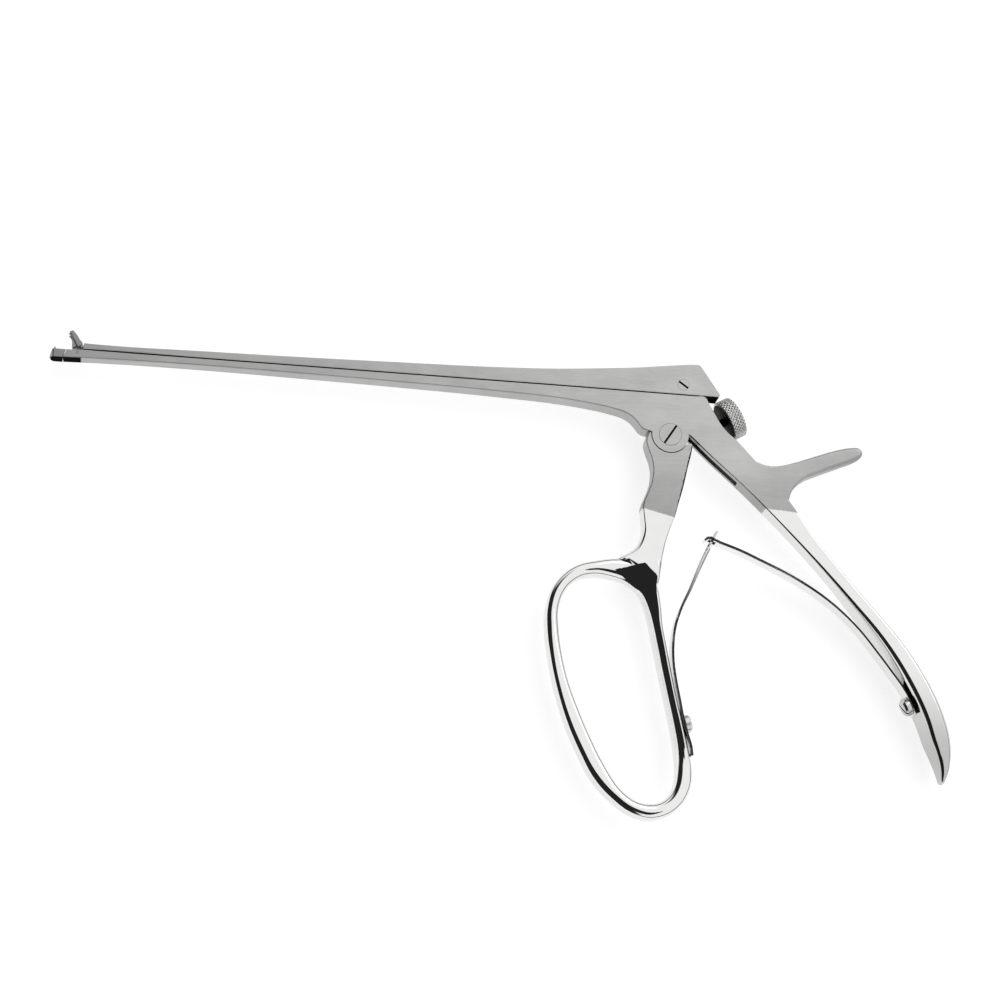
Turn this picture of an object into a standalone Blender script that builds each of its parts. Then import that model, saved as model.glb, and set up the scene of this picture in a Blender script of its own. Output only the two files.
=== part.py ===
# Punch forceps with a sliding shaft, lying on its side on the XY plane.
# Units are metres and +Z is up. The shaft runs along X, and the jaws point towards -X.
# Every length below is in millimetres, measured from the lever's pivot axis, at mid thickness.
import math

import bmesh
import bpy
from mathutils import Matrix, Vector

MM = 0.001

# Main planes and thicknesses
SEAM_Y = 13.8
BODY_T = 7.0
TIP_T = 5.0
CHEEK_GAP = 3.2
TONGUE_T = 3.0
EDGE_R = 0.6
SLIDE_GAP = 0.3
TOUCH_GAP = 0.3
RUN_GAP = 0.08
KEY_T = 2.0
KEY_H = 1.1
KEY_GAP = 0.1

# Knurled stop screw
KNOB_R = 6.9
KNOB_T = 4.8
STOP_AXIS_ANGLE = math.radians(31.0)
STOP_CENTRE = (20.6, 8.0)
STOP_SHANK_R = 1.45
STOP_REACH = 13.6

# Height of the mid plane above the surface that the forceps lies on
PALM_T = 14.0
REST_Z = PALM_T / 2

# Spur beside the handle and ring of the lever
SPUR_T = BODY_T - 0.04
RING_T = 7.4
RING_R = 2.2
# The ring's corner under the neck, whose faces slope down towards the fingers
WEB = (-6.0, -50.0)
WEB_REACH = 18.0
WEB_TAPER = 0.45

# Pivot of the lever
BOSS_R = 6.0
RECESS_R = 6.35
PIVOT_HEAD_R = 3.65
PIVOT_SHANK_R = 2.0
SLOT_W = 0.7
SLOT_DEPTH = 0.45

# Link screw that drives the sliding shaft
LINK_X = 4.0
LINK_Y = 17.3
LINK_R = 1.5
LINK_HEAD_R = 1.85
LEVER_SWING = math.radians(8.6)
LINK_LEAN = math.atan2(LINK_X, LINK_Y)
STROKE = LINK_X - LINK_Y * math.tan(LINK_LEAN - LEVER_SWING)

# Jaws
BITE_X = -191.5
BITE_Y = SEAM_Y - 1.2
GROOVE_START = BITE_X + 13.5
GROOVE_END = -20.0
KEY_ROOM = 10.0
JAW_PIN_R = 0.5
JAW_HUB_R = 1.15
DRIVE_R = 2.65
DRIVE_PIN_R = 0.45
DRIVE_ANGLE = math.asin(STROKE / 2 / DRIVE_R)
DRIVE_Y = BITE_Y + DRIVE_R * math.cos(DRIVE_ANGLE)
DRIVE_X = BITE_X + STROKE / 2
JAW_SWING = 2.0 * DRIVE_ANGLE
JAW_TONGUE_T = 1.8
FORK_GAP = 2.0
BASKET_FRONT = BITE_X - 8.7
BASKET_BACK = BITE_X - 4.1
BASKET_LEAN = 1.0
BASKET_TOP = SEAM_Y - 0.35
BASKET_FLOOR = SEAM_Y - 3.1
BASKET_WALL = 0.6
RIM_GAP = 0.1
TOOTH_H = 1.3
TOOTH_T = 1.2
NOSE_R = 3.0
SLIDE_FRONT = BITE_X + 1.8
SLIDE_TIP_H = 2.2

# Leaf springs
LEAF_T = 0.7
LEAF_TIP_W = 4.4
LEAF_ROOT_W = 6.5
LEAF_TONGUE_W = 2.2
SPRING_SCREW_R = 1.2
SPRING_HEAD_R = 3.0
SPRING_HEAD_T = 2.3
LEAF_OFF = LEAF_T / 2 + 0.15
LAND = 3.4
LEAF_TAIL = 10.6
# Points of the two faces that the leaves are screwed to, and the lean of each face in degrees
REAR_EDGE = (87.0, -80.5)
REAR_WIDTH = 7.5
REAR_LEAN = 26.0
FRONT_SEAT = (5.9, -95.0)
FRONT_LEAN = 14.0


def clear_scene():
    for obj in list(bpy.data.objects):
        bpy.data.objects.remove(obj)


def make_collection(name, hidden):
    found = bpy.data.collections.new(name)
    bpy.context.scene.collection.children.link(found)
    found.hide_render = hidden
    return found


clear_scene()
PARTS = make_collection("punch_forceps", False)
HELPERS = make_collection("cutters", True)


def material(name, colour, roughness, metallic=1.0):
    made = bpy.data.materials.new(name)
    made.use_nodes = True
    shader = made.node_tree.nodes["Principled BSDF"]
    shader.inputs["Base Color"].default_value = (*colour, 1.0)
    shader.inputs["Roughness"].default_value = roughness
    shader.inputs["Metallic"].default_value = metallic
    return made


def smooth_path(points, steps, closed=False):
    """A smooth path through the points, whose slopes allow for uneven spacing."""
    points = [Vector(p) for p in points]
    count = len(points)

    def gap(i, j):
        return max((points[j % count] - points[i % count]).length, 1e-6)

    def slope(i):
        if not closed and i == 0:
            return (points[1] - points[0]) / gap(0, 1)
        if not closed and i == count - 1:
            return (points[-1] - points[-2]) / gap(-2, -1)
        before = gap(i - 1, i)
        after = gap(i, i + 1)
        back = (points[i % count] - points[(i - 1) % count]) / before
        ahead = (points[(i + 1) % count] - points[i % count]) / after
        return (back * after + ahead * before) / (before + after)

    path = []
    for i in range(count if closed else count - 1):
        span = gap(i, i + 1)
        a = points[i % count]
        b = points[(i + 1) % count]
        for s in range(steps):
            t = s / steps
            path.append(a * (2 * t ** 3 - 3 * t * t + 1) + slope(i) * span * (t ** 3 - 2 * t * t + t)
                        + b * (3 * t * t - 2 * t ** 3) + slope(i + 1) * span * (t ** 3 - t * t))
    if not closed:
        path.append(points[-1])
    return [tuple(p) for p in path]


def arc(centre, radius, start, end, steps):
    """Points on an arc, with the angles in degrees."""
    return [(centre[0] + radius * math.cos(math.radians(start + (end - start) * i / steps)),
             centre[1] + radius * math.sin(math.radians(start + (end - start) * i / steps)))
            for i in range(steps + 1)]


def link_object(name, mesh, helper):
    obj = bpy.data.objects.new(name, mesh)
    (HELPERS if helper else PARTS).objects.link(obj)
    if helper:
        obj.hide_render = True
        obj.display_type = "WIRE"
    return obj


def face_outward(work):
    bmesh.ops.recalc_face_normals(work, faces=work.faces)
    if work.calc_volume(signed=True) < 0:
        bmesh.ops.reverse_faces(work, faces=work.faces)


def clean(mesh):
    work = bmesh.new()
    work.from_mesh(mesh)
    bmesh.ops.remove_doubles(work, verts=work.verts, dist=0.000002)
    face_outward(work)
    work.to_mesh(mesh)
    work.free()


def plate(name, outline, z_low, z_high, edge=0.0, helper=False):
    """A flat plate in the XY plane with rounded edges, from an outline in millimetres."""
    curve = bpy.data.curves.new(name, "CURVE")
    curve.dimensions = "2D"
    curve.fill_mode = "BOTH"
    curve.extrude = ((z_high - z_low) / 2 - edge) * MM
    curve.bevel_depth = edge * MM
    curve.bevel_resolution = 2
    curve.offset = -edge * MM
    spline = curve.splines.new("POLY")
    spline.points.add(len(outline) - 1)
    for point, at in zip(spline.points, outline):
        point.co = (at[0] * MM, at[1] * MM, 0.0, 1.0)
    spline.use_cyclic_u = True
    holder = bpy.data.objects.new(name + "_outline", curve)
    HELPERS.objects.link(holder)
    graph = bpy.context.evaluated_depsgraph_get()
    mesh = bpy.data.meshes.new_from_object(holder.evaluated_get(graph))
    bpy.data.objects.remove(holder)
    mesh.name = name
    mesh.transform(Matrix.Translation((0, 0, (z_low + z_high) / 2 * MM)))
    clean(mesh)
    return link_object(name, mesh, helper)


def rod(name, start, end, radius, sides=40, helper=False, end_radius=None):
    """A cylinder or cone between two points in millimetres."""
    work = bmesh.new()
    a = Vector(start) * MM
    b = Vector(end) * MM
    bmesh.ops.create_cone(work, cap_ends=True, segments=sides, radius1=radius * MM,
                          radius2=(radius if end_radius is None else end_radius) * MM,
                          depth=(b - a).length)
    turn = (b - a).to_track_quat("Z", "Y").to_matrix().to_4x4()
    bmesh.ops.transform(work, matrix=Matrix.Translation((a + b) / 2) @ turn, verts=work.verts)
    mesh = bpy.data.meshes.new(name)
    work.to_mesh(mesh)
    work.free()
    return link_object(name, mesh, helper)


def block(name, low, high, helper=True):
    """A box between two corners in millimetres."""
    work = bmesh.new()
    bmesh.ops.create_cube(work, size=1.0)
    size = [(h - l) * MM for l, h in zip(low, high)]
    middle = [(h + l) / 2 * MM for l, h in zip(low, high)]
    bmesh.ops.scale(work, vec=size, verts=work.verts)
    bmesh.ops.translate(work, vec=middle, verts=work.verts)
    mesh = bpy.data.meshes.new(name)
    work.to_mesh(mesh)
    work.free()
    return link_object(name, mesh, helper)


def turned(name, profile, centre, axis, sides=48, helper=False):
    """A piece turned about an axis: profile holds (distance along the axis, radius)."""
    work = bmesh.new()
    points = [work.verts.new((r * MM, 0, h * MM)) for h, r in profile]
    for a, b in zip(points, points[1:]):
        work.edges.new((a, b))
    mesh = bpy.data.meshes.new(name)
    work.to_mesh(mesh)
    work.free()
    obj = link_object(name, mesh, helper)
    spin = obj.modifiers.new("turn", "SCREW")
    spin.steps = sides
    spin.render_steps = sides
    spin.use_merge_vertices = True
    spin.merge_threshold = 0.00001
    spin.use_normal_calculate = True
    graph = bpy.context.evaluated_depsgraph_get()
    spun = bpy.data.meshes.new_from_object(obj.evaluated_get(graph))
    obj.modifiers.remove(spin)
    obj.data = spun
    turn = Vector(axis).to_track_quat("Z", "Y").to_matrix().to_4x4()
    spun.transform(Matrix.Translation(Vector(centre) * MM) @ turn)
    clean(spun)
    return obj


def section(left, right, thick, radius, taper=0.0, corner_steps=4):
    """Points round a rounded rectangle between two edge points of a strip, thinner to the right by taper."""
    left = Vector((left[0], left[1], 0))
    right = Vector((right[0], right[1], 0))
    across = (right - left).normalized()
    width = (right - left).length
    radius = min(radius, width * 0.48, thick * 0.48)
    middle = (left + right) / 2
    ring = []
    for corner, (sx, sz) in enumerate(((1, 1), (-1, 1), (-1, -1), (1, -1))):
        for k in range(corner_steps + 1):
            angle = math.radians(90 * corner + 90 * k / corner_steps)
            u = sx * (width / 2 - radius) + radius * math.cos(angle)
            v = sz * (thick / 2 - radius) + radius * math.sin(angle)
            v *= 1.0 - taper * (0.5 + u / width)
            ring.append(middle + across * u + Vector((0, 0, v)))
    return ring


def strip(name, stations, steps, closed=False, taper=None):
    """A loft through rounded sections: each station is left x, y, right x, y, thickness, radius."""
    work = bmesh.new()
    rows = []
    for lx, ly, rx, ry, thick, radius in smooth_path(stations, steps, closed):
        thinner = taper((lx + rx) / 2, (ly + ry) / 2) if taper else 0.0
        rows.append([work.verts.new(p * MM)
                     for p in section((lx, ly), (rx, ry), thick, radius, thinner)])
    pairs = list(zip(rows, rows[1:]))
    if closed:
        pairs.append((rows[-1], rows[0]))
    for a, b in pairs:
        for i in range(len(a)):
            j = (i + 1) % len(a)
            work.faces.new((a[i], a[j], b[j], b[i]))
    if not closed:
        work.faces.new(rows[0])
        work.faces.new(rows[-1])
    face_outward(work)
    mesh = bpy.data.meshes.new(name)
    work.to_mesh(mesh)
    work.free()
    return link_object(name, mesh, False)


def combine(target, other, operation):
    change = target.modifiers.new(other.name, "BOOLEAN")
    change.object = other
    change.operation = operation
    change.solver = "EXACT"
    if other.name in PARTS.objects:
        PARTS.objects.unlink(other)
        HELPERS.objects.link(other)
    other.hide_render = True
    other.display_type = "WIRE"


def settle(obj):
    """Turns the modifiers into the mesh, cleaned."""
    graph = bpy.context.evaluated_depsgraph_get()
    mesh = bpy.data.meshes.new_from_object(obj.evaluated_get(graph))
    obj.modifiers.clear()
    obj.data = mesh
    clean(mesh)


def finish(obj, made_of, origin=(0.0, 0.0, 0.0), angle=35.0):
    """Gives the piece its material and shading and puts its origin on its own axis."""
    settle(obj)
    obj.data.materials.clear()
    obj.data.materials.append(made_of)
    at = Vector(origin) * MM
    obj.data.transform(Matrix.Translation(-at))
    obj.location = at + Vector((0, 0, REST_Z * MM))
    obj.data.shade_smooth()
    obj.data.set_sharp_from_angle(angle=math.radians(angle))


satin = material("satin_steel", (0.46, 0.46, 0.46), 0.38)
spring_steel = material("spring_steel", (0.58, 0.58, 0.59), 0.12)
knurled = material("knurled_steel", (0.50, 0.50, 0.50), 0.35)
pin_steel = material("pin_steel", (0.42, 0.42, 0.43), 0.30)

# Fixed shaft, head and rear handle, forged in one
def shaft_station(share, depth, thick):
    """A station of the fixed shaft, at a share of the way from the pivot to the bite."""
    x = share * BITE_X
    return (x, SEAM_Y - depth, x, SEAM_Y, thick, EDGE_R)


def handle_station(x, y, lean, width, thick, radius):
    """A station from a point on the handle's outer edge and the direction across it."""
    return (x - width * math.cos(math.radians(lean)), y - width * math.sin(math.radians(lean)),
            x, y, thick, radius)


shaft_stations = [
    (BASKET_BACK - BASKET_LEAN / 2 + TOUCH_GAP, BASKET_FLOOR,
     BASKET_BACK + BASKET_LEAN / 2 + TOUCH_GAP, SEAM_Y, TIP_T, 0.4),
    shaft_station(0.9661, 2.8, TIP_T),
    shaft_station(0.7833, 2.4, 5.4),
    shaft_station(0.6266, 2.6, 5.8),
    shaft_station(0.4595, 2.95, 6.2),
    shaft_station(0.2872, 3.6, 6.7),
    shaft_station(0.1828, 4.45, BODY_T),
    shaft_station(0.141, 5.25, BODY_T),
    shaft_station(0.1018, 6.4, BODY_T),
    shaft_station(0.0742, 7.9, BODY_T),
    shaft_station(0.0658, 8.9, BODY_T),
]
head_stations = [
    (-11.2, 3.5, -10.4, SEAM_Y, BODY_T, EDGE_R),
    (-9.4, 1.4, -7.4, SEAM_Y, BODY_T, EDGE_R),
    (-6.6, 0.5, -3.4, SEAM_Y, BODY_T, EDGE_R),
    (-1.0, 0.2, 3.0, SEAM_Y, BODY_T, EDGE_R),
    (4.0, 0.2, 8.0, SEAM_Y, BODY_T, EDGE_R),
    (5.8, 0.3, 11.2, SEAM_Y, BODY_T, EDGE_R),
    (7.6, -1.0, 13.0, 11.0, BODY_T, EDGE_R),
    (10.6, -3.8, 14.9, 7.9, BODY_T, EDGE_R),
    (14.0, -6.9, 17.0, 4.6, BODY_T, EDGE_R),
    (17.6, -10.0, 19.4, 2.0, BODY_T, EDGE_R),
    (21.0, -12.9, 22.4, -0.6, BODY_T, EDGE_R),
    (25.0, -16.4, 27.0, -5.4, BODY_T, EDGE_R),
    (30.3, -21.4, 34.0, -12.6, BODY_T, 0.8),
    (36.0, -27.0, 41.3, -21.6, BODY_T, 1.0),
]
handle_stations = [
    handle_station(47.3, -30.0, 40.0, 6.0, 7.2, 1.3),
    handle_station(57.2, -41.6, 40.0, 5.4, 8.2, 1.8),
    handle_station(65.0, -50.6, 40.0, 5.6, 10.0, 2.3),
    handle_station(72.0, -58.5, 39.0, 6.1, 12.0, 2.7),
    handle_station(78.0, -66.0, 36.0, 6.8, 13.4, 3.0),
    handle_station(83.0, -73.4, 31.0, 7.3, PALM_T, 3.2),
    handle_station(*REAR_EDGE, REAR_LEAN, REAR_WIDTH, PALM_T, 3.2),
    handle_station(90.0, -87.6, 20.0, 7.4, 13.6, 3.2),
    handle_station(91.9, -94.6, 12.0, 7.0, 12.6, 3.0),
    handle_station(92.3, -100.4, 0.0, 5.4, 10.8, 2.5),
    handle_station(91.7, -105.2, -12.0, 3.4, 8.0, 1.6),
    handle_station(90.4, -108.8, -24.0, 1.2, 4.4, 0.5),
]
frame = strip("frame", shaft_stations + head_stations + handle_stations, 4)
spur_stations = [
    (25.6, -5.8, 35.2, -22.2, SPUR_T, 0.8),
    (28.6, -6.9, 37.6, -21.6, SPUR_T, 0.8),
    (31.6, -7.8, 39.2, -19.6, SPUR_T, 0.9),
    (35.2, -7.9, 40.5, -15.9, SPUR_T, 1.0),
    (39.6, -6.7, 43.8, -12.0, 6.8, 1.2),
    (47.2, -3.7, 49.8, -8.9, 6.3, 1.5),
    (55.3, -0.5, 57.6, -5.6, 5.8, 1.8),
    (60.4, 0.9, 62.2, -3.5, 5.2, 2.0),
    (62.7, 1.1, 63.9, -2.1, 4.2, 1.6),
    (63.9, 0.4, 64.4, -0.9, 2.2, 0.6),
]
spur = strip("spur", spur_stations, 3)
boss = rod("boss", (0, 0, -BODY_T / 2 + 0.03), (0, 0, BODY_T / 2 - 0.03), BOSS_R, 64)
combine(frame, spur, "UNION")
combine(frame, boss, "UNION")

# Space between the cheeks where the lever's tongue swings, with its run down the handle
tongue_space = plate("tongue_space", [
    (-6.9, -8.0), (10.0, -8.0), (22.6, -16.4), (22.6, -12.2), (12.8, -1.6), (12.2, 3.0),
    (11.9, SEAM_Y + 2), (-5.4, SEAM_Y + 2), (-6.9, 4.0)],
    -CHEEK_GAP / 2, CHEEK_GAP / 2, helper=True)
combine(frame, tongue_space, "DIFFERENCE")
pivot_bore = rod("pivot_bore", (0, 0, -9), (0, 0, 9), PIVOT_SHANK_R + RUN_GAP, 48, True)
combine(frame, pivot_bore, "DIFFERENCE")
head_seat = rod("head_seat", (0, 0, BODY_T / 2 - 0.8), (0, 0, 9), PIVOT_HEAD_R + 0.1, 64, True)
combine(frame, head_seat, "DIFFERENCE")

# Threaded way of the stop screw through the neck
stop_axis = (math.cos(STOP_AXIS_ANGLE), math.sin(STOP_AXIS_ANGLE))


def on_stop_axis(distance, z=0.0):
    return (STOP_CENTRE[0] + stop_axis[0] * distance, STOP_CENTRE[1] + stop_axis[1] * distance, z)


stop_bore = rod("stop_bore", on_stop_axis(-30), on_stop_axis(6), STOP_SHANK_R + RUN_GAP, 32, True)
combine(frame, stop_bore, "DIFFERENCE")

# Fork at the tip for the upper jaw, and the mouth of the basket
jaw_space = block("jaw_space", (BASKET_BACK - 3, BASKET_FLOOR + 0.3, -FORK_GAP / 2),
                  (BITE_X + 5.5, SEAM_Y + 3, FORK_GAP / 2))
combine(frame, jaw_space, "DIFFERENCE")
basket_mouth = block("basket_mouth", (BASKET_BACK - 3, BASKET_FLOOR + BASKET_WALL, -1.9),
                     (BITE_X - 2.2, SEAM_Y + 3, 1.9))
combine(frame, basket_mouth, "DIFFERENCE")
tip_step = block("tip_step", (BASKET_BACK - 3, BASKET_TOP, -6), (BITE_X + 1.4, SEAM_Y + 3, 6))
combine(frame, tip_step, "DIFFERENCE")
jaw_pin_bore = rod("jaw_pin_bore", (BITE_X, BITE_Y, -9), (BITE_X, BITE_Y, 9),
                   JAW_PIN_R + 0.03, 24, True)
combine(frame, jaw_pin_bore, "DIFFERENCE")

# Groove along the fixed shaft that the slide's key runs in
key_groove = block("key_groove", (GROOVE_START, SEAM_Y - KEY_H, -KEY_T / 2),
                   (GROOVE_END, SEAM_Y + 1, KEY_T / 2))
combine(frame, key_groove, "DIFFERENCE")

# Tapped hole of the rear spring's screw, square to the handle's inner face
rear_out = (-math.cos(math.radians(REAR_LEAN)), -math.sin(math.radians(REAR_LEAN)))
rear_seat = (REAR_EDGE[0] + REAR_WIDTH * rear_out[0], REAR_EDGE[1] + REAR_WIDTH * rear_out[1])
front_out = (math.cos(math.radians(FRONT_LEAN)), math.sin(math.radians(FRONT_LEAN)))
front_seat = FRONT_SEAT


def along(seat, out, distance):
    return (seat[0] + out[0] * distance, seat[1] + out[1] * distance, 0.0)


rear_tap = rod("rear_tap", along(rear_seat, rear_out, -5.0), along(rear_seat, rear_out, 8.0),
               SPRING_SCREW_R + RUN_GAP, 24, True)
combine(frame, rear_tap, "DIFFERENCE")
finish(frame, satin)

# Lower jaw: the front half of the bite basket with its tooth
lower_jaw = plate("lower_jaw", [
    (BASKET_FRONT, BASKET_FLOOR + 0.5), (BASKET_FRONT + 0.4, BASKET_FLOOR + 0.1),
    (BASKET_FRONT + 1.2, BASKET_FLOOR), (BASKET_BACK - BASKET_LEAN / 2, BASKET_FLOOR),
    (BASKET_BACK + BASKET_LEAN / 2, BASKET_TOP), (BASKET_FRONT + 0.8, BASKET_TOP)],
    -TIP_T / 2, TIP_T / 2, 0.15)
basket = block("basket", (BASKET_FRONT + 1.2, BASKET_FLOOR + BASKET_WALL, -1.9),
               (BASKET_BACK + 3, BASKET_TOP + 2, 1.9))
combine(lower_jaw, basket, "DIFFERENCE")
tooth = plate("tooth", [
    (BASKET_FRONT + 0.55, BASKET_FLOOR + 1.2), (BASKET_FRONT + 2.1, BASKET_FLOOR + 1.2),
    (BASKET_FRONT + 2.1, BASKET_TOP), (BASKET_FRONT + 1.65, BASKET_TOP + TOOTH_H * 0.92),
    (BASKET_FRONT + 1.5, BASKET_TOP + TOOTH_H), (BASKET_FRONT + 1.38, BASKET_TOP + TOOTH_H * 0.9),
    (BASKET_FRONT + 0.95, BASKET_TOP)],
    -TOOTH_T / 2, TOOTH_T / 2)
combine(lower_jaw, tooth, "UNION")
nose = block("nose", (BASKET_FRONT + NOSE_R, BASKET_FLOOR - 1, -TIP_T), (BITE_X, SEAM_Y + 4, TIP_T))
nose_round = rod("nose_round", (BASKET_FRONT + NOSE_R, BASKET_FLOOR - 1, 0),
                 (BASKET_FRONT + NOSE_R, SEAM_Y + 4, 0), NOSE_R, 48, True)
combine(nose, nose_round, "UNION")
combine(lower_jaw, nose, "INTERSECT")
finish(lower_jaw, satin, (BASKET_BACK, BITE_Y, 0))

# Upper jaw, drawn shut round its pin and then opened
cap = plate("upper_jaw", smooth_path([(-7.5, 1.6), (-7.3, 2.15), (-6.6, 2.35)], 2) + [
    (-5.2, 2.6), (-3.6, 2.7), (-2.9, 2.9), (-2.4, 3.0), (-1.9, 2.65), (-1.8, 2.0),
    (-1.8, BASKET_TOP - BITE_Y + RIM_GAP), (-7.5, BASKET_TOP - BITE_Y + RIM_GAP)],
    -2.4, 2.4, 0.2)
skirt = plate("skirt", [
    (-7.15, 1.8), (-7.2, 0.45), (-6.2, 0.8), (-4.9, 0.5), (-3.9, 0.05), (-2.95, -0.5),
    (-2.45, -0.5), (-2.25, 1.8)], -1.7, 1.7)
combine(cap, skirt, "UNION")
pin_dir = math.pi / 2 + DRIVE_ANGLE
ear_end = (DRIVE_R * math.cos(pin_dir), DRIVE_R * math.sin(pin_dir))
jaw_tongue = plate("jaw_tongue",
                   arc((0, 0), JAW_HUB_R, -150, 20, 10)
                   + arc(ear_end, 0.85, 20, 130, 8) + [(-3.2, 2.2), (-3.2, -0.2)],
                   -JAW_TONGUE_T / 2, JAW_TONGUE_T / 2)
combine(cap, jaw_tongue, "UNION")
cup = block("cup", (-6.4, -2.0, -1.2), (-3.4, 1.9, 1.2))
combine(cap, cup, "DIFFERENCE")
tooth_notch = block("tooth_notch", (-9.0, -2.0, -TOOTH_T / 2 - 0.2), (-6.2, 4.0, TOOTH_T / 2 + 0.2))
combine(cap, tooth_notch, "DIFFERENCE")
jaw_bore = rod("jaw_bore", (0, 0, -5), (0, 0, 5), JAW_PIN_R + 0.05, 24, True)
combine(cap, jaw_bore, "DIFFERENCE")
slot_low = DRIVE_R * math.cos(DRIVE_ANGLE) - 0.06
slot_high = DRIVE_R + 0.06
slot_outline = []
for distance, start in ((slot_high, -90), (slot_low, 90)):
    centre = (distance * math.cos(pin_dir), distance * math.sin(pin_dir))
    slot_outline += arc(centre, DRIVE_PIN_R + 0.06, start + math.degrees(pin_dir),
                        start + 180 + math.degrees(pin_dir), 10)
drive_slot = plate("drive_slot", slot_outline, -5, 5, helper=True)
combine(cap, drive_slot, "DIFFERENCE")
settle(cap)
cap.data.transform(Matrix.Translation((BITE_X * MM, BITE_Y * MM, 0))
                   @ Matrix.Rotation(-JAW_SWING, 4, "Z"))
finish(cap, satin, (BITE_X, BITE_Y, 0))

jaw_pivot_pin = rod("jaw_pivot_pin", (BITE_X, BITE_Y, -2.42), (BITE_X, BITE_Y, 2.42), JAW_PIN_R, 24)
finish(jaw_pivot_pin, pin_steel, (BITE_X, BITE_Y, 0))
jaw_drive_pin = rod("jaw_drive_pin", (DRIVE_X, DRIVE_Y, -2.42), (DRIVE_X, DRIVE_Y, 2.42),
                    DRIVE_PIN_R, 24)
finish(jaw_drive_pin, pin_steel, (DRIVE_X, DRIVE_Y, 0))

# Sliding shaft
def slide_station(share, height, thick):
    """A station of the slide, at a share of the way from the pivot to the bite."""
    x = share * BITE_X
    return (x, SEAM_Y + SLIDE_GAP, x, SEAM_Y + height, thick, EDGE_R)


slide_bar = strip("slide_bar", [
    (SLIDE_FRONT, SEAM_Y + SLIDE_GAP, SLIDE_FRONT, SEAM_Y + SLIDE_TIP_H, TIP_T, 0.3),
    slide_station(0.9713, 2.2, TIP_T),
    slide_station(0.799, 2.6, 5.4),
    slide_station(0.6319, 3.15, 5.8),
    slide_station(0.4642, 3.95, 6.2),
    slide_station(0.2945, 4.85, 6.7),
    slide_station(0.1922, 5.9, BODY_T),
    slide_station(0.1238, 7.1, BODY_T),
    slide_station(0.0548, 8.5, BODY_T),
    slide_station(-0.0104, 10.25, BODY_T),
    (7.0, SEAM_Y + SLIDE_GAP, 7.4, SEAM_Y + 10.9, BODY_T, EDGE_R),
    (9.4, SEAM_Y + SLIDE_GAP, 9.4, SEAM_Y + 10.8, BODY_T, EDGE_R),
    (11.5, SEAM_Y + SLIDE_GAP, 10.7, SEAM_Y + 9.2, BODY_T, EDGE_R),
    (13.6, SEAM_Y + SLIDE_GAP, 13.4, SEAM_Y + 5.3, BODY_T, EDGE_R),
    (15.8, SEAM_Y + SLIDE_GAP, 16.3, SEAM_Y + 1.1, BODY_T, 0.4),
], 4)
key = block("key", (GROOVE_START + KEY_ROOM, SEAM_Y - KEY_H + 2 * KEY_GAP, -KEY_T / 2 + KEY_GAP),
            (GROOVE_END - KEY_ROOM, SEAM_Y + 1.5, KEY_T / 2 - KEY_GAP))
combine(slide_bar, key, "UNION")
tongue_room = plate("tongue_room", [
    (LINK_X - 4.6, SEAM_Y - 1), (LINK_X + 4.6, SEAM_Y - 1), (LINK_X + 4.4, LINK_Y)]
    + arc((LINK_X, LINK_Y), 4.2, 20, 160, 10) + [(LINK_X - 4.4, LINK_Y)],
    -CHEEK_GAP / 2, CHEEK_GAP / 2, helper=True)
combine(slide_bar, tongue_room, "DIFFERENCE")
link_bore = rod("link_bore", (LINK_X, LINK_Y, -9), (LINK_X, LINK_Y, 9), LINK_R + RUN_GAP, 40, True)
combine(slide_bar, link_bore, "DIFFERENCE")
link_seat = rod("link_seat", (LINK_X, LINK_Y, BODY_T / 2 - 0.9), (LINK_X, LINK_Y, 9),
                LINK_HEAD_R + 0.06, 48, True)
combine(slide_bar, link_seat, "DIFFERENCE")
ear_room = block("ear_room", (SLIDE_FRONT - 3, SEAM_Y - 2, -FORK_GAP / 2),
                 (SLIDE_FRONT + 5.6, SEAM_Y + 5, FORK_GAP / 2))
combine(slide_bar, ear_room, "DIFFERENCE")
drive_bore = rod("drive_bore", (DRIVE_X, DRIVE_Y, -9), (DRIVE_X, DRIVE_Y, 9),
                 DRIVE_PIN_R + 0.03, 24, True)
combine(slide_bar, drive_bore, "DIFFERENCE")
finish(slide_bar, satin, (LINK_X, LINK_Y, 0))

link_screw = rod("link_screw", (LINK_X, LINK_Y, -BODY_T / 2 + 0.1),
                 (LINK_X, LINK_Y, BODY_T / 2 - 0.4), LINK_R, 40)
link_head = rod("link_head", (LINK_X, LINK_Y, BODY_T / 2 - 0.8), (LINK_X, LINK_Y, BODY_T / 2 + 0.02),
                LINK_HEAD_R, 40)
combine(link_screw, link_head, "UNION")


def driver_slot(name, length, angle, centre, top):
    """A cutter for a screw's slot, in a face that looks up Z."""
    cutter = block(name, (-length / 2, -SLOT_W / 2, -SLOT_DEPTH), (length / 2, SLOT_W / 2, 1.0))
    cutter.data.transform(Matrix.Translation((centre[0] * MM, centre[1] * MM, top * MM))
                          @ Matrix.Rotation(math.radians(angle), 4, "Z"))
    return cutter


combine(link_screw, driver_slot("link_slot", 9.0, -35.5, (LINK_X, LINK_Y), BODY_T / 2 + 0.02),
        "DIFFERENCE")
finish(link_screw, pin_steel, (LINK_X, LINK_Y, 0))

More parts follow.
